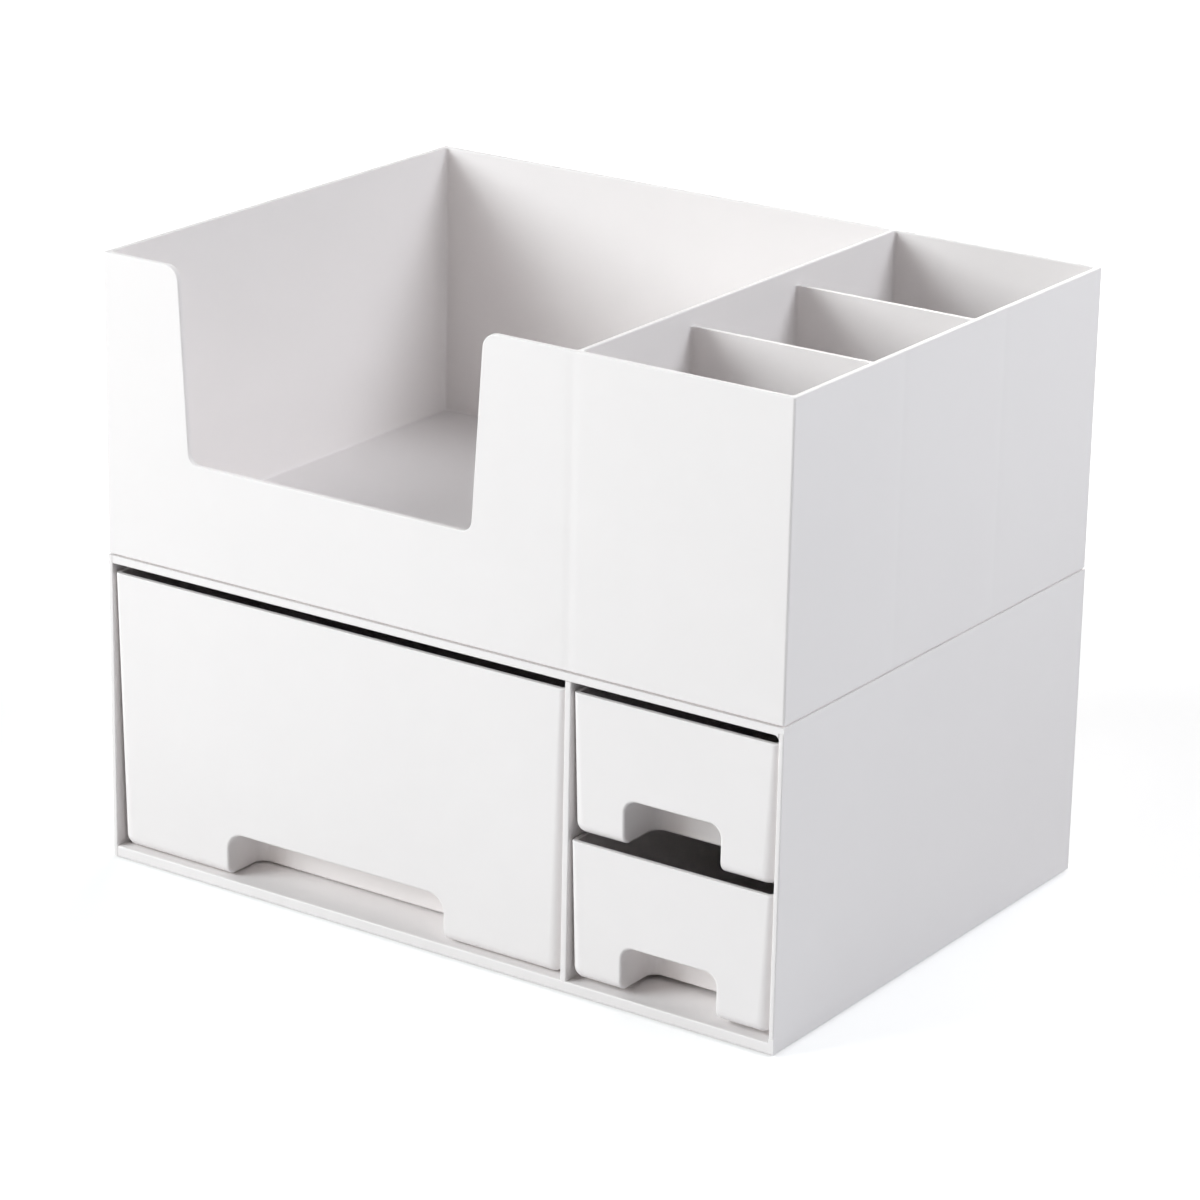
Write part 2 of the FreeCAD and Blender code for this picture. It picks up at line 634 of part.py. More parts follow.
def build_drawer(label, sides, bottom, height, recess_width, recess_corner, stops):
    body = new_body(label)
    rim = bottom + height
    lean = height * s.drawer_draft
    front = s.drawer_setback
    inner_floor = bottom + s.drawer_floor
    cavity_lean = (height - s.drawer_floor) * s.drawer_draft

    def outline(name, level, inset, radius):
        sketch = new_sketch(body, name, "XY_Plane", level)
        draw_rounded(sketch, (sides[0] + inset, sides[1] - inset),
                     (front + inset, drawer_back - inset), radius)
        return sketch

    shell = body.newObject("PartDesign::AdditiveLoft", f"{label}_shell")
    shell.Profile = outline("rim", rim, ZERO, s.rim_corner)
    shell.Sections = [outline("foot", bottom, lean, s.foot_corner)]

    inner_rim_corner = s.rim_corner - s.drawer_wall
    cavity = body.newObject("PartDesign::SubtractiveLoft", f"{label}_cavity")
    cavity.Profile = outline("inner_rim", rim, s.drawer_wall, inner_rim_corner)
    cavity.Sections = [outline("inner_foot", inner_floor, cavity_lean + s.drawer_wall,
                               s.foot_corner - s.drawer_wall)]
    rounded = dress(body, "Fillet", "inner_round", cavity, s.bottom_round - s.drawer_wall,
                    lambda edge: near(edge.BoundBox.ZMin, inner_floor)
                    and near(edge.BoundBox.ZMax, inner_floor))

    middle = (sides[0] + sides[1]) / 2
    half = recess_width / 2
    recess_top = bottom + s.recess_height
    recess_back = front + s.recess_depth
    housing_start = front + lean + s.joint_gap
    housing_back = recess_back + s.drawer_wall
    housing = new_sketch(body, "housing", "XZ_Plane", -housing_back)
    draw_rounded(housing, (middle - half - s.drawer_wall, middle + half + s.drawer_wall),
                 (bottom, recess_top + s.drawer_wall), recess_corner + s.drawer_wall, (1, 2))
    housed = pad(body, "housing", housing, housing_back - housing_start)
    body.Tip = housed
    housed = dress(body, "Fillet", "housing_round", housed, s.recess_back_round + s.drawer_wall,
                   lambda edge: near(edge.BoundBox.YMin, housing_back)
                   and near(edge.BoundBox.YMax, housing_back)
                   and edge.BoundBox.ZMax > inner_floor.value + 0.01)

    recess = new_sketch(body, "recess", "XZ_Plane", -(front - OVERCUT))
    draw_rounded(recess, (middle - half, middle + half), (bottom - OVERCUT, recess_top),
                 recess_corner, (1, 2))
    cut = pocket(body, "recess", recess, s.recess_depth + OVERCUT)
    body.Tip = cut
    cut = dress(body, "Fillet", "recess_round", cut, s.recess_back_round,
                lambda edge: near(edge.BoundBox.YMin, recess_back)
                and near(edge.BoundBox.YMax, recess_back)
                and edge.BoundBox.ZMax > bottom.value + 0.01)

    def on_outline(edge):
        """True for the drawer's outer bottom edges, away from the recess."""
        box = edge.BoundBox
        level = near(box.ZMin, bottom) and near(box.ZMax, bottom)
        beside = abs(edge.CenterOfMass.x - middle.value) > half.value + 0.01
        behind = edge.CenterOfMass.y > housing_back.value + 0.01
        return level and (beside or behind)

    based = dress(body, "Fillet", "bottom_round", cut, s.bottom_round, on_outline)
    mouth = dress(body, "Fillet", "recess_mouth", based, s.recess_edge,
                  lambda edge: near(edge.CenterOfMass.x, middle)
                  and edge.BoundBox.YMax < front.value + lean.value + 0.01
                  and near(edge.BoundBox.ZMin, recess_top) and near(edge.BoundBox.ZMax, recess_top))
    rimmed = dress(body, "Fillet", "rim_edge", mouth, s.rim_edge,
                   lambda edge: near(edge.BoundBox.ZMin, rim) and near(edge.BoundBox.ZMax, rim))
    body.Tip = rimmed
    tab_inset = s.rim_edge + s.joint_gap
    tab_along = (drawer_back - s.drawer_wall + tab_inset, drawer_back - tab_inset)
    return add_blocks(body, "stop_tabs", [(place, tab_along) for place in stops],
                      (rim, rim + s.stop_rise))


# Top tray: one moulding with a large bin, three compartments and a notch in its front

def build_top_tray():
    body = new_body("top_tray")
    low = s.cabinet_height
    rim = low + s.tray_height
    floor_underside = low + s.tray_skirt
    floor_top = floor_underside + s.tray_floor
    inner = (s.tray_wall, s.width - s.tray_wall)
    inner_along = (s.tray_wall, s.depth - s.tray_wall)
    bin_right = s.tray_wall + s.bin_width
    strip_left = bin_right + s.divider_wall

    seat_across = (s.seam_side_depth, s.width - s.seam_side_depth)
    seat_along = (s.seam_front_depth, s.depth - s.seam_side_depth)
    add_blocks(body, "seat", [(seat_across, seat_along)], (low, low + s.seam_height))
    outer = new_sketch(body, "outer", "XY_Plane", low + s.seam_height)
    draw_rounded(outer, (ZERO, s.width), (ZERO, s.depth), s.tray_corner)
    pad(body, "outer", outer, s.tray_height - s.seam_height)

    cell_count = CROSS_DIVIDERS + 1
    cell = (s.depth - s.tray_wall * 2 - s.divider_wall * CROSS_DIVIDERS) / cell_count
    hollows = new_sketch(body, "hollows", "XY_Plane", rim)
    draw_rounded(hollows, (s.tray_wall, bin_right), inner_along, s.tray_inner_corner)
    for i in range(cell_count):
        start = s.tray_wall + (cell + s.divider_wall) * i
        draw_rounded(hollows, (strip_left, inner[1]), (start, start + cell), s.tray_inner_corner)
    hollowed = pocket(body, "hollows", hollows, rim - floor_top)
    body.Tip = hollowed
    rounded = dress(body, "Fillet", "floor_round", hollowed, s.tray_floor_round,
                    lambda edge: near(edge.BoundBox.ZMin, floor_top)
                    and near(edge.BoundBox.ZMax, floor_top))

    cross_places = []
    clearing = s.tray_inner_corner + OVERCUT
    for i in range(CROSS_DIVIDERS):
        start = s.tray_wall + (cell + s.divider_wall) * (i + 1) - s.divider_wall
        cross_places.append(((strip_left, inner[1]), (start - clearing, start + s.divider_wall + clearing)))
    cut_blocks(body, "cross_tops", cross_places, (rim - s.cross_drop, rim))
    cut_blocks(body, "skirt", [(inner, inner_along)], (low, floor_underside))

    notch_low = rim - s.notch_depth
    notch = new_sketch(body, "notch", "XZ_Plane", ZERO - s.tray_wall - OVERCUT)
    draw_polygon(notch, [
        (s.notch_middle - s.notch_bottom / 2, notch_low),
        (s.notch_middle + s.notch_bottom / 2, notch_low),
        (s.notch_middle + s.notch_top / 2, rim),
        (s.notch_middle - s.notch_top / 2, rim),
    ])
    notched = body.newObject("PartDesign::Pocket", "top_tray_notch")
    notched.Profile = notch
    notched.Reversed = True
    notched.setExpression("Length", (s.tray_wall + OVERCUT * 2).text)
    body.Tip = notched
    cornered = dress(body, "Fillet", "notch_corners", notched, s.notch_corner,
                     lambda edge: runs_along(edge, 1) and edge.CenterOfMass.y < s.tray_wall.value
                     and near(edge.CenterOfMass.z, notch_low))
    shouldered = dress(body, "Fillet", "notch_shoulders", cornered, s.notch_shoulder,
                       lambda edge: runs_along(edge, 1) and edge.CenterOfMass.y < s.tray_wall.value
                       and near(edge.CenterOfMass.z, rim))
    return dress(body, "Fillet", "rim_round", shouldered, s.tray_rim_round,
                 lambda edge: near(edge.BoundBox.ZMin, rim) and near(edge.BoundBox.ZMax, rim))


# Foot pads: four rubber discs seated in the base's recesses

def build_foot_pads():
    discs = []
    for number, (across, along) in enumerate(foot_middles, start=1):
        disc = doc.addObject("Part::Cylinder", f"foot_pad_{number}")
        disc.setExpression("Radius", s.foot_radius.text)
        disc.setExpression("Height", s.foot_thickness.text)
        disc.setExpression("Placement.Base.x", (across - s.width / 2).text)
        disc.setExpression("Placement.Base.y", (along - s.depth / 2).text)
        discs.append(disc)
    pads = doc.addObject("Part::Compound", "foot_pads")
    pads.Label = "foot_pads"
    pads.Links = discs
    return pads


build_base_panel()
build_top_panel()
build_side_panel("left_side_panel", on_right=False)
build_side_panel("right_side_panel", on_right=True)
build_centre_partition()
build_back_panel()
build_drawer("wide_drawer", (wide_left, wide_right), wide_bottom, s.wide_drawer_height,
             s.wide_recess, s.wide_recess_corner, wide_stops)
build_drawer("lower_small_drawer", (small_left, small_right), lower_bottom, s.small_drawer_height,
             s.small_recess, s.small_recess_corner, small_stops)
build_drawer("upper_small_drawer", (small_left, small_right), upper_bottom, s.small_drawer_height,
             s.small_recess, s.small_recess_corner, small_stops)
build_top_tray()
foot_pads = build_foot_pads()
doc.recompute()


# Checks before anything is written

def meshed_volume(shape):
    """Volume from a fine mesh, which stays true on drafted and filleted faces."""
    points, triangles = shape.tessellate(MESH_TOLERANCE)
    six_times = [points[a].dot(points[b].cross(points[c])) for a, b, c in triangles]
    return sum(six_times) / 6


def check_features(body):
    """Every pad must add material, and every pocket must take some away."""
    before = 0.0
    for feature in body.Group:
        if not hasattr(feature, "Shape") or feature.TypeId == "Sketcher::SketchObject":
            continue
        after = meshed_volume(feature.Shape)
        adds = feature.TypeId in ("PartDesign::Pad", "PartDesign::AdditiveLoft")
        cuts = feature.TypeId in ("PartDesign::Pocket", "PartDesign::SubtractiveLoft")
        if adds and after <= before or cuts and after >= before:
            raise ValueError(f"{feature.Name} changes nothing")
        before = after


for item in doc.Objects:
    if "Invalid" in item.State or "Error" in item.State:
        raise ValueError(f"{item.Name} failed: {item.State}")

bodies = [item for item in doc.Objects if item.TypeId == "PartDesign::Body"]
for body in bodies:
    check_features(body)

sub_parts = bodies + [foot_pads]
for item in sub_parts:
    expected = len(foot_middles) if item is foot_pads else 1
    if item.Shape.isNull() or not item.Shape.isValid():
        raise ValueError(f"{item.Label} has a bad shape")
    if len(item.Shape.Solids) != expected:
        raise ValueError(f"{item.Label} has {len(item.Shape.Solids)} solids")

os.makedirs("parts", exist_ok=True)
for item in sub_parts:
    item.Shape.exportStep(f"parts/{item.Label}.step")
    box = item.Shape.BoundBox
    print(f"{item.Label}: volume {meshed_volume(item.Shape):.1f}, "
          f"x {box.XMin:.2f} to {box.XMax:.2f}, y {box.YMin:.2f} to {box.YMax:.2f}, "
          f"z {box.ZMin:.2f} to {box.ZMax:.2f}")
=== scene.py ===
"""Looks, light and camera for the make-up organizer with drawers."""

import math

import bmesh
import bpy
from mathutils import Matrix, Vector


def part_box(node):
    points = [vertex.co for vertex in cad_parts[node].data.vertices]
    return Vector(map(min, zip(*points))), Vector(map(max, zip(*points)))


bl_info = {
    "name": "Make-up organizer looks",
    "version": (1, 0, 0),
    "blender": (4, 5, 0),
    "location": "3D View > Sidebar > Organizer",
    "description": "Moulded white plastic, soft studio and camera for a make-up organizer",
    "category": "Material",
}

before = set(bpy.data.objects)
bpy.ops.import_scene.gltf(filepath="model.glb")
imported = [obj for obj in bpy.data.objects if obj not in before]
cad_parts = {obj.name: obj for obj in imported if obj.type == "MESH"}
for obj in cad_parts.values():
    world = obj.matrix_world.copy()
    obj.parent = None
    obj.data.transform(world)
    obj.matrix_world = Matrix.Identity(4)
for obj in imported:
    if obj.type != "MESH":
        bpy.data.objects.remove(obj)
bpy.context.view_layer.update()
TRAY_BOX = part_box("top_tray")

CABINET_PANELS = (
    "base_panel",
    "top_panel",
    "left_side_panel",
    "right_side_panel",
    "centre_partition",
    "back_panel",
)
DRAWERS = ("wide_drawer", "upper_small_drawer", "lower_small_drawer")

# Widths of the patches in the plastic's shade and roughness, in metres.
CLOUD_SIZE = 0.07
PATCH_SIZE = 0.012

# The soft pads' pores, in metres.
PORE_SIZE = 0.0006
PORE_DEPTH = 0.00004

# A point this close to the tray's outer faces lies on them, in metres.
FACE_SKIN = 0.0002

# Where each square lamp stands and how wide it is, in metres.
LAMPS = {
    "key_lamp": ((-1.3, -1.5, 1.1), 1.2),
    "low_lamp": ((-0.3, -1.7, 0.35), 1.0),
    "side_lamp": ((1.7, 0.3, 1.3), 1.0),
    "high_lamp": ((1.3, 0.7, 1.6), 1.0),
    "back_lamp": ((-0.4, 1.8, 1.0), 1.2),
}
LAMP_TARGET = Vector((0.0, 0.0, 0.11))

# Width of the camera's sensor, in millimetres.
SENSOR_WIDTH = 36.0

WHITE = (1.0, 1.0, 1.0, 1.0)


class OrganizerPlastic(bpy.types.PropertyGroup):
    """The white plastic that every moulding is made of."""

    cabinet_colour: bpy.props.FloatVectorProperty(
        name="Cabinet colour",
        description="Base colour of the panels",
        subtype="COLOR",
        min=0.0,
        max=1.0,
        default=(0.88, 0.848, 0.843),
    )
    drawer_colour: bpy.props.FloatVectorProperty(
        name="Drawer colour",
        description="Base colour of the three drawers",
        subtype="COLOR",
        min=0.0,
        max=1.0,
        default=(0.878, 0.845, 0.84),
    )
    tray_colour: bpy.props.FloatVectorProperty(
        name="Tray colour",
        description="Base colour of the tray",
        subtype="COLOR",
        min=0.0,
        max=1.0,
        default=(0.873, 0.84, 0.835),
    )
    foot_colour: bpy.props.FloatVectorProperty(
        name="Foot pad colour",
        description="Base colour of the soft pads under the base",
        subtype="COLOR",
        min=0.0,
        max=1.0,
        default=(0.62, 0.62, 0.61),
    )
    shade_change: bpy.props.FloatProperty(
        name="Shade change",
        description="How far the plastic's white wanders from place to place",
        subtype="FACTOR",
        min=0.0,
        max=0.2,
        default=0.018,
    )
    roughness: bpy.props.FloatProperty(
        name="Roughness",
        description="Middle roughness of the satin mould finish",
        subtype="FACTOR",
        min=0.0,
        max=1.0,
        default=0.46,
    )
    roughness_change: bpy.props.FloatProperty(
        name="Roughness change",
        description="How far the roughness wanders from place to place",
        subtype="FACTOR",
        min=0.0,
        max=0.5,
        default=0.10,
    )
    grain_size: bpy.props.FloatProperty(
        name="Grain size",
        description="Width of one grain of the mould's eroded texture",
        unit="LENGTH",
        min=0.00005,
        max=0.002,
        default=0.00045,
    )
    grain_height: bpy.props.FloatProperty(
        name="Grain height",
        description="Height of the mould's eroded texture",
        unit="LENGTH",
        min=0.0,
        max=0.001,
        default=0.00002,
    )
    ripple_size: bpy.props.FloatProperty(
        name="Ripple size",
        description="Width of the slow ripples that moulding leaves in a flat wall",
        unit="LENGTH",
        min=0.001,
        max=0.1,
        default=0.016,
    )
    ripple_height: bpy.props.FloatProperty(
        name="Ripple height",
        description="Height of the slow ripples in a flat wall",
        unit="LENGTH",
        min=0.0,
        max=0.001,
        default=0.00004,
    )
    sink_width: bpy.props.FloatProperty(
        name="Sink mark width",
        description="Width of the sink marks where the tray's dividers meet its walls",
        unit="LENGTH",
        min=0.0001,
        max=0.01,
        default=0.0065,
    )
    sink_depth: bpy.props.FloatProperty(
        name="Sink mark depth",
        description="Depth of the tray's sink marks",
        unit="LENGTH",
        min=0.0,
        max=0.001,
        default=0.00011,
    )
    divider_place: bpy.props.FloatProperty(
        name="Central divider",
        description="Place of the tray's central divider along X",
        unit="LENGTH",
        default=0.0564,
    )
    cross_wall: bpy.props.FloatProperty(
        name="Cross divider",
        description="Place of the cross dividers along Y, before and behind the middle",
        unit="LENGTH",
        default=0.0324,
    )


class OrganizerStudio(bpy.types.PropertyGroup):
    """The floor, the lamps and the world around the organizer."""

    floor_size: bpy.props.FloatProperty(
        name="Floor size",
        description="Side of the square floor",
        unit="LENGTH",
        min=1.0,
        max=40.0,
        default=12.0,
    )
    floor_colour: bpy.props.FloatVectorProperty(
        name="Floor colour",
        description="Colour of the floor where the camera sees it",
        subtype="COLOR",
        min=0.0,
        max=1.0,
        default=(0.80, 0.80, 0.80),
    )
    floor_bounce: bpy.props.FloatVectorProperty(
        name="Floor bounce",
        description="Colour of the light that the floor sends back to the organizer",
        subtype="COLOR",
        min=0.0,
        max=1.0,
        default=(0.65, 0.65, 0.66),
    )
    floor_glow: bpy.props.FloatProperty(
        name="Floor glow",
        description="Light that the camera sees added to the floor at the organizer",
        min=0.0,
        max=1.0,
        default=0.38,
    )
    glow_near: bpy.props.FloatProperty(
        name="Glow starts",
        description="Distance from the middle at which the floor's glow starts to rise to full white",
        unit="LENGTH",
        min=0.0,
        default=0.35,
    )
    glow_far: bpy.props.FloatProperty(
        name="Glow full",
        description="Distance from the middle at which the floor is full white",
        unit="LENGTH",
        min=0.0,
        default=1.1,
    )
    world_colour: bpy.props.FloatVectorProperty(
        name="World colour",
        description="Colour of the soft light from all round",
        subtype="COLOR",
        min=0.0,
        max=1.0,
        default=(1.0, 1.0, 1.0),
    )
    world_strength: bpy.props.FloatProperty(
        name="World strength",
        description="Strength of the soft light from all round",
        min=0.0,
        max=2.0,
        default=0.02,
    )
    key_power: bpy.props.FloatProperty(
        name="Key lamp",
        description="Power of the large lamp at the front left",
        unit="POWER",
        min=0.0,
        default=42.8,
    )
    key_colour: bpy.props.FloatVectorProperty(
        name="Key lamp colour",
        description="Colour of the large lamp at the front left",
        subtype="COLOR",
        min=0.0,
        max=1.0,
        default=(0.93, 0.986, 1.0),
    )
    low_power: bpy.props.FloatProperty(
        name="Low lamp",
        description="Power of the lamp low in front",
        unit="POWER",
        min=0.0,
        default=6.2,
    )
    side_power: bpy.props.FloatProperty(
        name="Side lamp",
        description="Power of the lamp at the right",
        unit="POWER",
        min=0.0,
        default=15.2,
    )
    high_power: bpy.props.FloatProperty(
        name="High lamp",
        description="Power of the high lamp at the back right",
        unit="POWER",
        min=0.0,
        default=13.4,
    )
    side_colour: bpy.props.FloatVectorProperty(
        name="Side lamp colour",
        description="Colour of the two lamps at the right",
        subtype="COLOR",
        min=0.0,
        max=1.0,
        default=(0.922, 0.958, 1.0),
    )
    back_power: bpy.props.FloatProperty(
        name="Back lamp",
        description="Power of the lamp behind",
        unit="POWER",
        min=0.0,
        default=19.1,
    )
    back_colour: bpy.props.FloatVectorProperty(
        name="Back lamp colour",
        description="Colour of the lamps behind and low in front",
        subtype="COLOR",
        min=0.0,
        max=1.0,
        default=(1.0, 0.943, 0.895),
    )


class OrganizerCamera(bpy.types.PropertyGroup):
    """The camera that shows the organizer as it was photographed."""

    place: bpy.props.FloatVectorProperty(
        name="Place",
        description="Where the camera stands",
        subtype="XYZ",
        unit="LENGTH",
        default=(0.83879, -1.22853, 0.62354),
    )
    azimuth: bpy.props.FloatProperty(
        name="Azimuth",
        description="How far the camera stands round to the right of the front",
        subtype="ANGLE",
        default=math.radians(34.279),
    )
    elevation: bpy.props.FloatProperty(
        name="Elevation",
        description="How steeply the camera looks down",
        subtype="ANGLE",
        default=math.radians(19.378),
    )
    roll: bpy.props.FloatProperty(
        name="Roll",
        description="How far the camera leans to its left",
        subtype="ANGLE",
        default=math.radians(1.134),
    )
    lens: bpy.props.FloatProperty(
        name="Lens",
        description="Focal length on a sensor 36 mm wide",
        unit="CAMERA",
        min=1.0,
        default=134.6388,
    )


class NodeTree:
    """Adds nodes to a tree and joins them, so that a material reads from top to bottom."""

    def __init__(self, tree):
        self.tree = tree
        tree.nodes.clear()

    def add(self, kind, inputs=None, **settings):
        """A node of this kind, with its settings and with values or sockets for its inputs."""
        made = self.tree.nodes.new(kind)
        for name, value in settings.items():
            setattr(made, name, value)
        for name, value in (inputs or {}).items():
            if isinstance(value, bpy.types.NodeSocket):
                self.tree.links.new(value, made.inputs[name])
            else:
                made.inputs[name].default_value = value
        return made

    def math(self, operation, *values, clamp=False):
        """The result of one sum on numbers or sockets."""
        made = self.add(
            "ShaderNodeMath", dict(enumerate(values)), operation=operation, use_clamp=clamp
        )
        return made.outputs["Value"]

    def noise(self, place, size, detail=2.0, roughness=0.5):
        """Noise whose patches are about size metres wide."""
        made = self.add(
            "ShaderNodeTexNoise",
            {"Vector": place, "Scale": 1.0 / size, "Detail": detail, "Roughness": roughness},
        )
        return made.outputs["Fac"]

    def spread(self, value, low, high, to_low, to_high):
        """The value's range from low to high, laid out from to_low to to_high."""
        made = self.add(
            "ShaderNodeMapRange",
            {
                "Value": value,
                "From Min": low,
                "From Max": high,
                "To Min": to_low,
                "To Max": to_high,
            },
        )
        return made.outputs["Result"]

    def line_mark(self, along, middle, half_width):
        """1 on the line where a coordinate is at its middle, falling smoothly to 0 beside it."""
        off = self.math("ABSOLUTE", self.math("SUBTRACT", along, middle))
        made = self.add(
            "ShaderNodeMapRange",
            {
                "Value": off,
                "From Min": 0.0,
                "From Max": half_width,
                "To Min": 1.0,
                "To Max": 0.0,
            },
            interpolation_type="SMOOTHSTEP",
        )
        return made.outputs["Result"]


def shaded(colour, change):
    """The colour, lighter or darker by a share of itself."""
    return [min(1.0, channel * (1.0 + change)) for channel in colour] + [1.0]


def moulded_plastic(name, colour, plastic, marks=None):
    """Satin white plastic from an eroded mould, with slow ripples and a slight wander of shade.

    marks is a function that returns a socket: 1 where a sink mark is deepest and 0 away from it.
    """
    material = bpy.data.materials.new(name)
    material.use_nodes = True
    nodes = NodeTree(material.node_tree)
    place = nodes.add("ShaderNodeTexCoord").outputs["Object"]
    cloud = nodes.noise(place, CLOUD_SIZE, detail=3.0)
    ripple = nodes.noise(place, plastic.ripple_size, detail=1.0)
    grain = nodes.noise(place, plastic.grain_size, detail=2.0, roughness=0.6)
    patch = nodes.noise(place, PATCH_SIZE, detail=4.0, roughness=0.55)

    shade = nodes.math("ADD", nodes.math("MULTIPLY", cloud, 0.7), nodes.math("MULTIPLY", patch, 0.3))
    tone = nodes.add("ShaderNodeValToRGB", {"Fac": shade})
    ramp = tone.color_ramp
    ramp.elements[0].position = 0.25
    ramp.elements[0].color = shaded(colour, -plastic.shade_change)
    ramp.elements[1].position = 0.75
    ramp.elements[1].color = shaded(colour, plastic.shade_change * 0.5)

    rough_low = plastic.roughness - plastic.roughness_change / 2
    rough_high = plastic.roughness + plastic.roughness_change / 2
    mixed = nodes.math("ADD", nodes.math("MULTIPLY", patch, 0.6), nodes.math("MULTIPLY", grain, 0.4))
    rough = nodes.spread(mixed, 0.3, 0.7, rough_low, rough_high)

    slow = nodes.add(
        "ShaderNodeBump",
        {"Strength": 1.0, "Distance": plastic.ripple_height, "Height": ripple},
    )
    fine = nodes.add(
        "ShaderNodeBump",
        {
            "Strength": 1.0,
            "Distance": plastic.grain_height,
            "Height": grain,
            "Normal": slow.outputs["Normal"],
        },
    )
    normal = fine.outputs["Normal"]
    if marks:
        sink = marks(nodes, place)
        dip = nodes.add(
            "ShaderNodeBump",
            {"Strength": 1.0, "Distance": plastic.sink_depth, "Height": sink, "Normal": normal},
            invert=True,
        )
        normal = dip.outputs["Normal"]
    surface = nodes.add(
        "ShaderNodeBsdfPrincipled",
        {
            "Base Color": tone.outputs["Color"],
            "Roughness": rough,
            "IOR": 1.49,
            "Specular IOR Level": 0.5,
            "Normal": normal,
        },
    )
    nodes.add("ShaderNodeOutputMaterial", {"Surface": surface.outputs["BSDF"]})
    material.diffuse_color = shaded(colour, 0.0)
    return material


def dress(node, material):
    """Gives a CAD node this finish."""
    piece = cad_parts[node]
    piece.data.materials.clear()
    piece.data.materials.append(material)


class ORGANIZER_OT_cabinet(bpy.types.Operator):
    """Gives the cabinet's six panels their white plastic"""

    bl_idname = "organizer.cabinet"
    bl_label = "Dress the cabinet"

    def execute(self, context):
        plastic = context.scene.organizer_plastic
        for node in CABINET_PANELS:
            material = moulded_plastic("cabinet_white_" + node, plastic.cabinet_colour, plastic)
            dress(node, material)
        return {"FINISHED"}


class ORGANIZER_OT_drawers(bpy.types.Operator):
    """Gives the three drawers their white plastic"""

    bl_idname = "organizer.drawers"
    bl_label = "Dress the drawers"

    def execute(self, context):
        plastic = context.scene.organizer_plastic
        for node in DRAWERS:
            material = moulded_plastic("drawer_white_" + node, plastic.drawer_colour, plastic)
            dress(node, material)
        return {"FINISHED"}


class ORGANIZER_OT_tray(bpy.types.Operator):
    """Gives the tray its white plastic, with the sink marks of its dividers"""

    bl_idname = "organizer.tray"
    bl_label = "Dress the tray"

    def execute(self, context):
        plastic = context.scene.organizer_plastic
        low, high = TRAY_BOX

        def sink_marks(nodes, place):
            split = nodes.add("ShaderNodeSeparateXYZ", {"Vector": place})
            x, y = split.outputs["X"], split.outputs["Y"]
            half = plastic.sink_width / 2
            on_front = nodes.math("LESS_THAN", y, low.y + FACE_SKIN)
            on_back = nodes.math("GREATER_THAN", y, high.y - FACE_SKIN)
            on_right = nodes.math("GREATER_THAN", x, high.x - FACE_SKIN)
            central = nodes.line_mark(x, plastic.divider_place, half)
            crossing = nodes.line_mark(nodes.math("ABSOLUTE", y), plastic.cross_wall, half)
            ends = nodes.math("MULTIPLY", central, nodes.math("ADD", on_front, on_back))
            return nodes.math("ADD", ends, nodes.math("MULTIPLY", crossing, on_right), clamp=True)

        material = moulded_plastic("tray_white", plastic.tray_colour, plastic, sink_marks)
        dress("top_tray", material)
        return {"FINISHED"}


class ORGANIZER_OT_feet(bpy.types.Operator):
    """Gives the foot pads their soft matt finish"""

    bl_idname = "organizer.feet"
    bl_label = "Dress the foot pads"

    def execute(self, context):
        plastic = context.scene.organizer_plastic
        material = bpy.data.materials.new("foot_soft_grey")
        material.use_nodes = True
        nodes = NodeTree(material.node_tree)
        place = nodes.add("ShaderNodeTexCoord").outputs["Object"]
        grain = nodes.noise(place, PORE_SIZE, detail=4.0)
        tone = nodes.add("ShaderNodeValToRGB", {"Fac": grain})
        tone.color_ramp.elements[0].color = shaded(plastic.foot_colour, -0.12)
        tone.color_ramp.elements[1].color = shaded(plastic.foot_colour, 0.06)
        rough = nodes.spread(grain, 0.3, 0.7, 0.72, 0.88)
        pores = nodes.add(
            "ShaderNodeBump", {"Strength": 1.0, "Distance": PORE_DEPTH, "Height": grain}
        )
        surface = nodes.add(
            "ShaderNodeBsdfPrincipled",
            {
                "Base Color": tone.outputs["Color"],
                "Roughness": rough,
                "Specular IOR Level": 0.3,
                "Normal": pores.outputs["Normal"],
            },
        )
        nodes.add("ShaderNodeOutputMaterial", {"Surface": surface.outputs["BSDF"]})
        dress("foot_pads", material)
        return {"FINISHED"}


def seen_as_background(nodes):
    """1 for what the camera sees straight, in a reflection or through glass, and 0 for other light."""
    path = nodes.add("ShaderNodeLightPath").outputs
    shown = nodes.math("MAXIMUM", path["Is Camera Ray"], path["Is Glossy Ray"])
    return nodes.math("MAXIMUM", shown, path["Is Transmission Ray"])


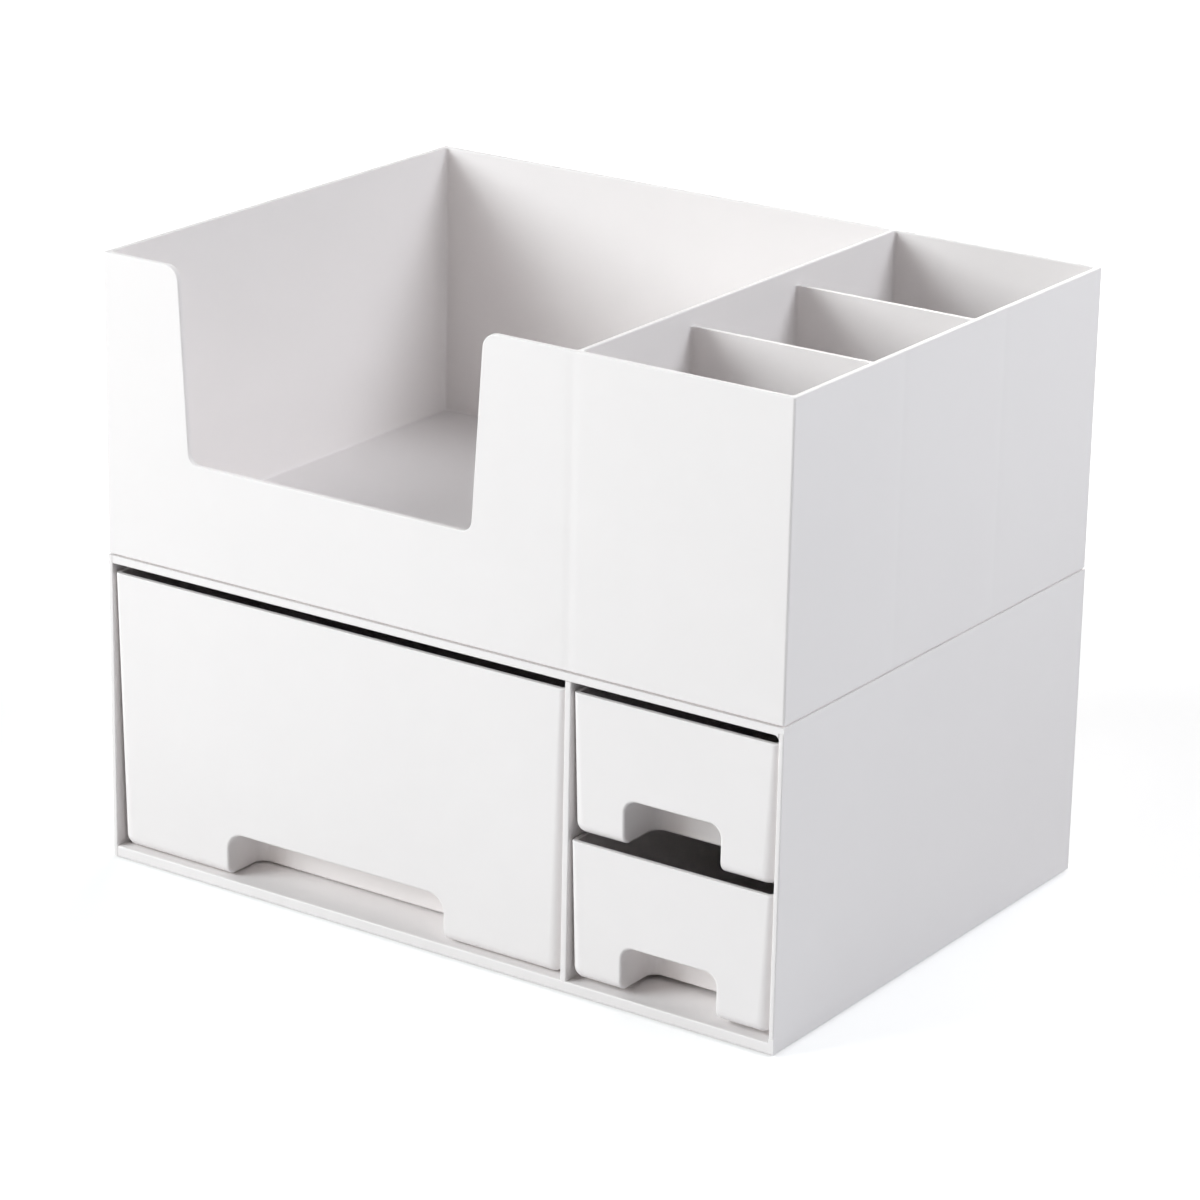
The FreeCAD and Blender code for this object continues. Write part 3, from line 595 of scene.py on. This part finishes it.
def make_floor(studio):
    """A plain pale floor that keeps the organizer's shadow and turns full white away from it."""
    mesh = bpy.data.meshes.new("studio_floor")
    shape = bmesh.new()
    bmesh.ops.create_grid(shape, x_segments=1, y_segments=1, size=studio.floor_size / 2)
    shape.to_mesh(mesh)
    shape.free()
    floor = bpy.data.objects.new("studio_floor", mesh)
    bpy.context.scene.collection.objects.link(floor)
    material = bpy.data.materials.new("studio_paper")
    material.use_nodes = True
    nodes = NodeTree(material.node_tree)
    bounce = nodes.add("ShaderNodeBsdfDiffuse", {"Color": list(studio.floor_bounce) + [1.0]})
    paper = nodes.add("ShaderNodeBsdfDiffuse", {"Color": list(studio.floor_colour) + [1.0]})
    place = nodes.add("ShaderNodeTexCoord").outputs["Object"]
    away = nodes.add("ShaderNodeVectorMath", {0: place}, operation="LENGTH").outputs["Value"]
    strength = nodes.spread(away, studio.glow_near, studio.glow_far, studio.floor_glow, 1.0)
    glow = nodes.add("ShaderNodeEmission", {"Color": WHITE, "Strength": strength})
    bright = nodes.add("ShaderNodeAddShader", {0: paper.outputs["BSDF"], 1: glow.outputs["Emission"]})
    mixed = nodes.add(
        "ShaderNodeMixShader",
        {0: seen_as_background(nodes), 1: bounce.outputs["BSDF"], 2: bright.outputs["Shader"]},
    )
    nodes.add("ShaderNodeOutputMaterial", {"Surface": mixed.outputs["Shader"]})
    mesh.materials.append(material)


def make_world(studio):
    """Soft light from all round, which the camera sees as a white background."""
    world = bpy.data.worlds.new("studio_world")
    bpy.context.scene.world = world
    world.use_nodes = True
    nodes = NodeTree(world.node_tree)
    soft = nodes.add(
        "ShaderNodeBackground",
        {"Color": list(studio.world_colour) + [1.0], "Strength": studio.world_strength},
    )
    white = nodes.add("ShaderNodeBackground", {"Color": WHITE, "Strength": 1.0})
    mixed = nodes.add(
        "ShaderNodeMixShader",
        {
            0: seen_as_background(nodes),
            1: soft.outputs["Background"],
            2: white.outputs["Background"],
        },
    )
    nodes.add("ShaderNodeOutputWorld", {"Surface": mixed.outputs["Shader"]})


def area_lamp(name, power, colour):
    """A soft square lamp that points at the middle of the organizer."""
    place, size = LAMPS[name]
    data = bpy.data.lights.new(name, "AREA")
    data.shape = "SQUARE"
    data.size = size
    data.energy = power
    data.color = colour
    lamp = bpy.data.objects.new(name, data)
    bpy.context.scene.collection.objects.link(lamp)
    lamp.location = place
    lamp.rotation_euler = (LAMP_TARGET - lamp.location).to_track_quat("-Z", "Y").to_euler()


def make_camera(view):
    """The camera at the photographed angle."""
    data = bpy.data.cameras.new("organizer_camera")
    data.lens = view.lens
    data.sensor_width = SENSOR_WIDTH
    camera = bpy.data.objects.new("organizer_camera", data)
    bpy.context.scene.collection.objects.link(camera)
    turn = (
        Matrix.Rotation(view.azimuth, 4, "Z")
        @ Matrix.Rotation(math.pi / 2 - view.elevation, 4, "X")
        @ Matrix.Rotation(view.roll, 4, "Z")
    )
    camera.matrix_world = Matrix.Translation(view.place) @ turn
    bpy.context.scene.camera = camera


class ORGANIZER_OT_studio(bpy.types.Operator):
    """Sets up the floor, the lamps, the world and the camera"""

    bl_idname = "organizer.studio"
    bl_label = "Set up the studio"

    def execute(self, context):
        scene = context.scene
        studio = scene.organizer_studio
        scene.view_settings.view_transform = "Standard"
        make_floor(studio)
        make_world(studio)
        area_lamp("key_lamp", studio.key_power, studio.key_colour)
        area_lamp("low_lamp", studio.low_power, studio.back_colour)
        area_lamp("side_lamp", studio.side_power, studio.side_colour)
        area_lamp("high_lamp", studio.high_power, studio.side_colour)
        area_lamp("back_lamp", studio.back_power, studio.back_colour)
        make_camera(scene.organizer_camera)
        return {"FINISHED"}


class ORGANIZER_PT_sidebar(bpy.types.Panel):
    """Lists the organizer's pieces and its studio"""

    bl_idname = "ORGANIZER_PT_sidebar"
    bl_label = "Make-up organizer"
    bl_space_type = "VIEW_3D"
    bl_region_type = "UI"
    bl_category = "Organizer"

    def draw(self, context):
        for operator in OPERATORS:
            self.layout.operator(operator.bl_idname)
        for group in (
            context.scene.organizer_plastic,
            context.scene.organizer_studio,
            context.scene.organizer_camera,
        ):
            for name in group.__annotations__:
                self.layout.prop(group, name)


OPERATORS = (
    ORGANIZER_OT_cabinet,
    ORGANIZER_OT_drawers,
    ORGANIZER_OT_tray,
    ORGANIZER_OT_feet,
    ORGANIZER_OT_studio,
)
CLASSES = (OrganizerPlastic, OrganizerStudio, OrganizerCamera) + OPERATORS + (ORGANIZER_PT_sidebar,)


def register():
    for item in CLASSES:
        bpy.utils.register_class(item)
    scene = bpy.types.Scene
    scene.organizer_plastic = bpy.props.PointerProperty(type=OrganizerPlastic)
    scene.organizer_studio = bpy.props.PointerProperty(type=OrganizerStudio)
    scene.organizer_camera = bpy.props.PointerProperty(type=OrganizerCamera)


def unregister():
    scene = bpy.types.Scene
    del scene.organizer_camera
    del scene.organizer_studio
    del scene.organizer_plastic
    for item in reversed(CLASSES):
        bpy.utils.unregister_class(item)


def main():
    register()
    bpy.ops.organizer.cabinet()
    bpy.ops.organizer.drawers()
    bpy.ops.organizer.tray()
    bpy.ops.organizer.feet()
    bpy.ops.organizer.studio()


if __name__ == "__main__":
    main()
